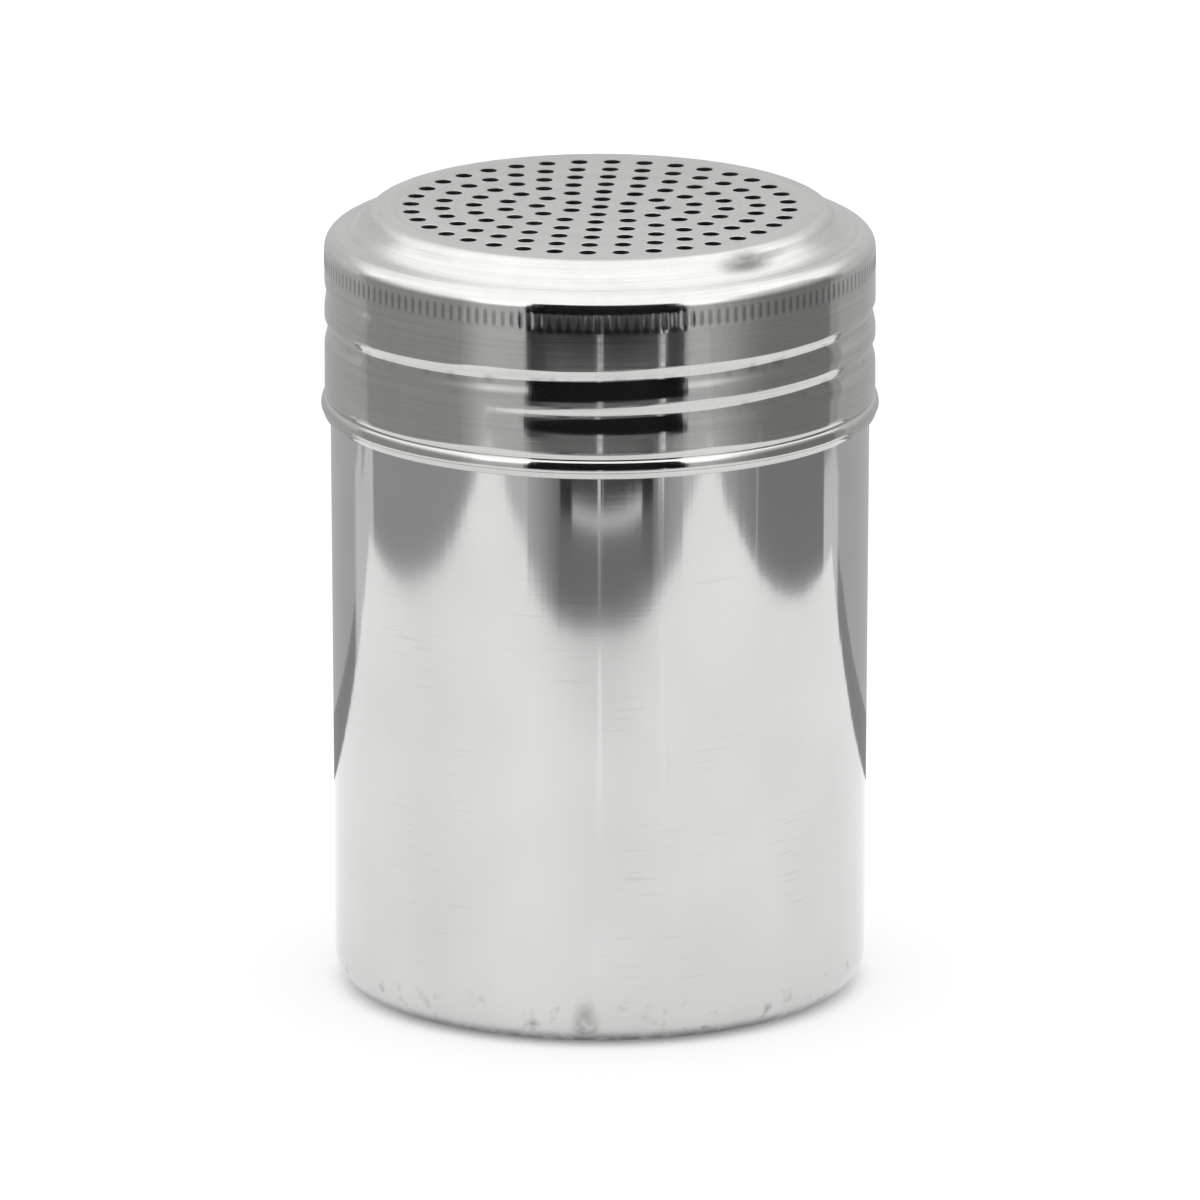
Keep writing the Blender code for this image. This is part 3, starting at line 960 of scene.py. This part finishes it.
class DREDGER_OT_cup(bpy.types.Operator):
    """Model the drawn cup with its threaded neck"""
    bl_idname = "dredger.cup"
    bl_label = "Cup"

    def execute(self, context):
        cup = context.scene.dredger_cup
        thread = context.scene.dredger_thread
        lid = context.scene.dredger_lid
        neck_radius = LID_RADIUS - lid.sheet - thread.groove_depth - thread.root_gap
        piece = spun("cup_shell", cup_section(cup, neck_radius), cup.columns)
        start_angle = thread.groove_angle + thread.crest_lead * math.tau
        start_height = LID_FOOT + thread.groove_start + (CREST_RISE + thread.crest_lead) * THREAD_PITCH
        crest = LID_RADIUS - lid.sheet - thread.crest_gap - neck_radius
        for name, radius, side in (("crest", neck_radius, 1), ("crest_inside", neck_radius - cup.sheet, -1)):
            press(piece, name, side * crest, lambda place: thread_weight(
                place, radius, thread, start_angle, start_height,
                thread.crest_turns, thread.crest_half, thread.crest_half))
        steel = context.scene.dredger_steel
        finish_piece(piece, cup_steel(steel, cup), "cup", ["cup"])
        give_finish(piece, inside_steel(steel), lambda face: face.center.z < RIM - cup.sheet and (
            outwards(face) < -LEANING or face.normal.z > LEANING and face.center.z < cup.corner_radius))
        return {"FINISHED"}


class DREDGER_OT_lid(bpy.types.Operator):
    """Model the perforated lid with its knurled band, screw groove and folded hem"""
    bl_idname = "dredger.lid"
    bl_label = "Lid"

    def execute(self, context):
        lid = context.scene.dredger_lid
        thread = context.scene.dredger_thread
        piece = spun("lid_cap", lid_section(lid), lid.ribs * lid.rib_columns)
        perforate(piece, lid)
        wall_top = TOP - ogee_rise(lid)
        press(piece, "valleys", -lid.rib_valley, lambda place: knurl_weight(place, lid, wall_top, -1))
        press(piece, "ribs", lid.rib_crest, lambda place: knurl_weight(place, lid, wall_top, 1))
        for name, radius, side in (("groove_inside", LID_RADIUS - lid.sheet, 1), ("groove", LID_RADIUS, -1)):
            press(piece, name, side * thread.groove_depth, lambda place: thread_weight(
                place, radius, thread, thread.groove_angle, LID_FOOT + thread.groove_start,
                thread.groove_turns, thread.groove_above, thread.groove_below))
        steel = context.scene.dredger_steel
        flat = flat_radius(lid) - lid.flat_border
        finish_piece(piece, lid_steel(steel, lid, thread, wall_top), "lid", ["lid", "lid_hem"])
        # The lid's inside takes the inside steel, whose grey is partly painted shade
        give_finish(piece, inside_steel(steel), lambda face: face.center.z > LID_FOOT + lid.sheet and (
            outwards(face) < -LEANING or face.normal.z < -LEVEL))
        # The walls of the sugar holes take the torn steel, painted near black as shade
        give_finish(piece, shaded_cut_steel(steel), lambda face: abs(face.normal.z) < STEEP and math.hypot(
            face.center.x, face.center.y) < flat)
        return {"FINISHED"}


def tent_cloth(panel, light, fades):
    """White cloth that glows with the light behind it, for a panel that only reflections see.

    Each fade is an axis, two places along it and the share of the light that is left at the second.
    """
    material, tree = new_material(panel.name + "_cloth")
    place = add_node(tree, "ShaderNodeTexCoord").outputs["Object"]
    axes = add_node(tree, "ShaderNodeSeparateXYZ", {"Vector": place}).outputs
    ramps = [(axes[axis], start, end, 1, left) for axis, start, end, left in fades]
    glow = add_node(tree, "ShaderNodeEmission", {"Strength": soft_zone(tree, light, *ramps)})
    set_inputs(tree, tree.nodes["Material Output"], {"Surface": glow.outputs["Emission"]})
    panel.data.materials.append(material)
    panel.visible_camera = False
    panel.visible_diffuse = False
    panel.visible_shadow = False


def panel_at(name, place, turned, width, height):
    """A flat rectangle of the light tent, at its middle, turned and sized."""
    bpy.ops.object.select_all(action="DESELECT")
    bpy.ops.mesh.primitive_plane_add(size=1, location=place, rotation=turned)
    panel = bpy.context.active_object
    panel.name = name
    panel.scale = (width, height, 1)
    bpy.ops.object.transform_apply()
    return panel


def along(axis, reach, change):
    """A fade of the tent's light along an axis, from the two shares of its reach in a change."""
    start, end, left = change
    return axis, start * reach, end * reach, left


def upright(name, start, end, low, high, light, *fades):
    """A panel of the light tent that stands between two places on the floor."""
    across = (end[0] - start[0], end[1] - start[1])
    middle = ((start[0] + end[0]) / 2, (start[1] + end[1]) / 2, (low + high) / 2)
    turned = (math.pi / 2, 0, math.atan2(across[1], across[0]))
    tent_cloth(panel_at(name, middle, turned, math.hypot(*across), high - low), light, fades)


def lit_floor(stage):
    """Matt white acrylic over a light box: a pale floor, dimmer by the door and under the base."""
    material, tree = new_material("lit_white_acrylic")
    place = add_node(tree, "ShaderNodeTexCoord").outputs["Object"]
    # Middle, the share of the light that is lost there, and where the shade begins to fade and ends
    shades = (
        ((0, -stage.tent_front, 0), stage.shade, 0, stage.shade_reach),
        ((0, 0, 0), stage.base_shade, stage.base_inside, stage.base_reach),
    )
    ramps = []
    for middle, shade, start, reach in shades:
        away = add_node(tree, "ShaderNodeVectorMath", {0: place, 1: middle}, operation="DISTANCE")
        ramps.append((away.outputs["Value"], start, reach, 1 - shade, 1))
    set_inputs(tree, tree.nodes["Principled BSDF"], {
        "Base Color": linear(stage.floor_colour), "Roughness": 1, "Specular IOR Level": 0,
        "Emission Color": linear(WHITE), "Emission Strength": soft_zone(tree, stage.floor_glow, *ramps)})
    return material


def tent_walls(stage):
    """The cloth walls of the light tent, paler towards the top and where they meet at the front."""
    left = -stage.tent_left
    right = stage.tent_right
    front = -stage.tent_front
    back = stage.tent_back
    top = stage.tent_height
    foot = along("Z", stage.wall_foot, FOOT_CHANGE)
    upper = along("Z", top, UPPER_CHANGE)
    # Name, place across, where the wall ends behind, its light and its rear end's, and its change
    sides = (
        ("left", left, stage.left_end, stage.left_light, stage.left_corner_light, LEFT_CHANGE),
        ("right", right, stage.right_end, stage.right_light, stage.right_corner_light, RIGHT_CHANGE),
    )
    for name, across, end, light, corner_light, change in sides:
        upright(name + "_wall", (across, front), (across, end), 0, top, light,
                upper, foot, along("Y", front, change))
        upright(name + "_corner", (across, end), (across, back), 0, top, corner_light, upper)
    upright("back_wall", (left, back), (right, back), 0, top, stage.back_light,
            along("Z", top, BACK_CHANGE), along("Z", top, BACK_TOP_CHANGE))
    upright("front_wall", (left, front), (right, front), 0, top, stage.front_light, upper, foot)
    seam = -stage.seam
    left_inside = left + LAYER
    right_inside = right - LAYER
    upright("right_seam", (right_inside, seam), (right_inside, seam + stage.seam_width),
            0, stage.seam_height, stage.front_light)
    shaded = back - LAYER
    upright("back_skirting", (left, shaded), (right, shaded), 0, stage.skirting, stage.skirting_light)
    inside = back - 2 * LAYER
    # Name, two ends on the floor, and height
    gaps = (
        ("left_gap", (left_inside, stage.left_end), (left_inside, inside), LEFT_GAP),
        ("left_back_gap", (left, inside), (LEFT_BACK_END * left, inside), LEFT_BACK_GAP),
        ("left_far_gap", (LEFT_BACK_END * left, inside), (LEFT_FAR_END * left, inside), LEFT_FAR_GAP),
        ("right_gap", (right_inside, stage.right_end), (right_inside, inside), RIGHT_GAP),
        ("right_back_gap", (right, inside), (RIGHT_BACK_END * right, inside), RIGHT_BACK_GAP),
    )
    for name, start, end, high in gaps:
        upright(name, start, end, 0, high, stage.gap_light)


def tent_door(stage):
    """The tent's door: a dark room, a stand in front of it, and light between the curtains."""
    door = LAYER - stage.tent_front
    stand = door + stage.door_ajar
    middle = stand + LAYER
    dark = along("Z", stage.door_dark, DOOR_DARK_CHANGE)
    foot = along("Z", stage.door_foot, DOOR_FOOT_CHANGE)
    left = -stage.stand_left
    right = stage.stand_right
    for name, inner, edge in (("left", left, -stage.door_left), ("right", right, stage.door_right)):
        upright(name + "_leaf", (0, door), (edge, stand), 0, stage.tent_height, stage.door_light,
                dark, foot, along("X", edge, DOOR_SIDE_CHANGE))
        pale_in = door + stage.door_ajar * inner / edge + LAYER
        upright(name + "_pale", (inner, pale_in), (edge, middle), 0, stage.stand_high, stage.pale_light,
                foot, along("X", edge, PALE_CHANGE))
    low = stage.stand_low
    upright("stand", (left, stand), (right, stand), low, stage.stand_high, stage.stand_light)
    rim = stage.stand_rim
    upright("stand_middle", (left + rim, middle), (right - rim, middle), low, stage.middle_high,
            stage.middle_light)
    half = stage.slit_width / 2
    slit = middle + LAYER
    high = stage.slit_high
    reach = stage.leak_reach
    start, end, left_over = LEAK_CHANGE
    fade = ("Y", slit + start * reach, slit + end * reach, left_over)
    slits = (("slit", 0, stage.slit_light), ("side_slit", stage.side_slit, stage.side_light))
    for name, across, light in slits:
        upright(name, (across - half, slit), (across + half, slit), stage.slit_low, high, light,
                along("Z", high, SLIT_CHANGE))
        out = math.atan2(across, -slit)
        far = math.hypot(across, slit) - reach / 2
        place = (far * math.sin(out), -far * math.cos(out), LEAK_RISE)
        leak = panel_at(name + "_leak", place, (0, 0, out), stage.slit_width, reach)
        tent_cloth(leak, stage.leak_light, [fade])


class DREDGER_OT_stage(bpy.types.Operator):
    """Set up the camera, the pale floor and the light tent"""
    bl_idname = "dredger.stage"
    bl_label = "Stage"

    def execute(self, context):
        stage = context.scene.dredger_stage
        world = bpy.data.worlds.new("white_cloth")
        world.use_nodes = True
        sky = world.node_tree.nodes["Background"]
        set_inputs(world.node_tree, sky, {"Color": linear(WHITE), "Strength": stage.sky})
        context.scene.world = world
        bpy.ops.object.select_all(action="DESELECT")
        bpy.ops.mesh.primitive_plane_add(size=stage.floor_size, location=(0, 0, -FLOOR_DROP))
        floor = context.active_object
        floor.name = "floor"
        floor.data.materials.append(lit_floor(stage))
        tent_walls(stage)
        tent_door(stage)
        back = stage.distance * math.cos(stage.elevation)
        up = stage.distance * math.sin(stage.elevation) + stage.aim_height
        bpy.ops.object.camera_add(location=(0, -back, up), rotation=(math.pi / 2 - stage.elevation, 0, 0))
        camera = context.active_object
        camera.data.lens = camera.data.sensor_width * stage.distance / stage.view_width
        camera.data.clip_end = stage.floor_size
        context.scene.camera = camera
        context.scene.view_settings.view_transform = "Standard"
        return {"FINISHED"}


class DREDGER_PT_panel(bpy.types.Panel):
    """Sizes, colours and pieces of the dredger"""
    bl_label = "Sugar dredger"
    bl_space_type = "VIEW_3D"
    bl_region_type = "UI"
    bl_category = "Dredger"

    def draw(self, context):
        for operator in OPERATORS:
            self.layout.operator(operator.bl_idname)
        for name in GROUPS:
            box = self.layout.box()
            group = getattr(context.scene, name)
            box.label(text=group.bl_rna.description)
            for size in group.__annotations__:
                box.prop(group, size)


GROUPS = {
    "dredger_thread": DredgerThread,
    "dredger_lid": DredgerLid,
    "dredger_cup": DredgerCup,
    "dredger_steel": DredgerSteel,
    "dredger_stage": DredgerStage,
}
OPERATORS = (DREDGER_OT_cup, DREDGER_OT_lid, DREDGER_OT_stage)
CLASSES = (*GROUPS.values(), *OPERATORS, DREDGER_PT_panel)


def register():
    """Register the classes, and give every scene the groups of sizes."""
    for made in CLASSES:
        bpy.utils.register_class(made)
    for name, group in GROUPS.items():
        setattr(bpy.types.Scene, name, PointerProperty(type=group))


def unregister():
    """Take the groups of sizes and the classes away again."""
    for name in GROUPS:
        delattr(bpy.types.Scene, name)
    for made in reversed(CLASSES):
        bpy.utils.unregister_class(made)


def main():
    """Build the cup, the lid and the stage."""
    register()
    bpy.ops.dredger.cup()
    bpy.ops.dredger.lid()
    bpy.ops.dredger.stage()


if __name__ == "__main__":
    main()
